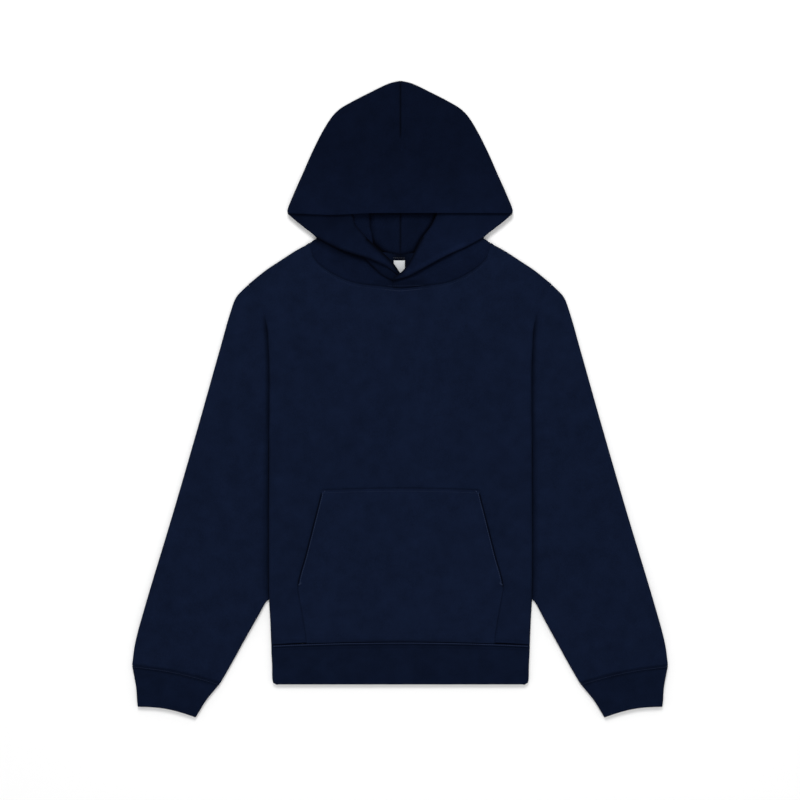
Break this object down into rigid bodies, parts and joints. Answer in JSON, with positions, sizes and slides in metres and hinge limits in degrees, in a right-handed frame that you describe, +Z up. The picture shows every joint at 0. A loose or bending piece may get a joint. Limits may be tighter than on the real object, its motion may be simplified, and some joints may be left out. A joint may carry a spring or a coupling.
{
  "type": "pullover hoodie",
  "caption": "Navy fleece pullover hoodie laid flat, with a crossover hood, kangaroo pocket and ribbed hem and cuffs.",
  "frame": {"origin": "middle of the outline's box, on the surface that the hoodie lies on", "axes": "+X to the viewer's right, +Y from the hem towards the hood, +Z up off the surface, out of the front"},
  "size_m": [0.8246, 0.984, 0.0137],
  "materials": {
    "fleece": "matt brushed cotton fleece with a fine knit face",
    "rib": "matt rib knit",
    "label": "smooth woven tape"
  },
  "bodies": {
    "root": {"front": "fleece", "back": "fleece", "sleeve_left": "fleece", "sleeve_right": "fleece", "hood_left": "fleece", "hood_right": "fleece", "pocket": "fleece", "cuff_left": "rib", "cuff_right": "rib", "hem_rib": "rib", "label": "label"}
  },
  "joints": []
}
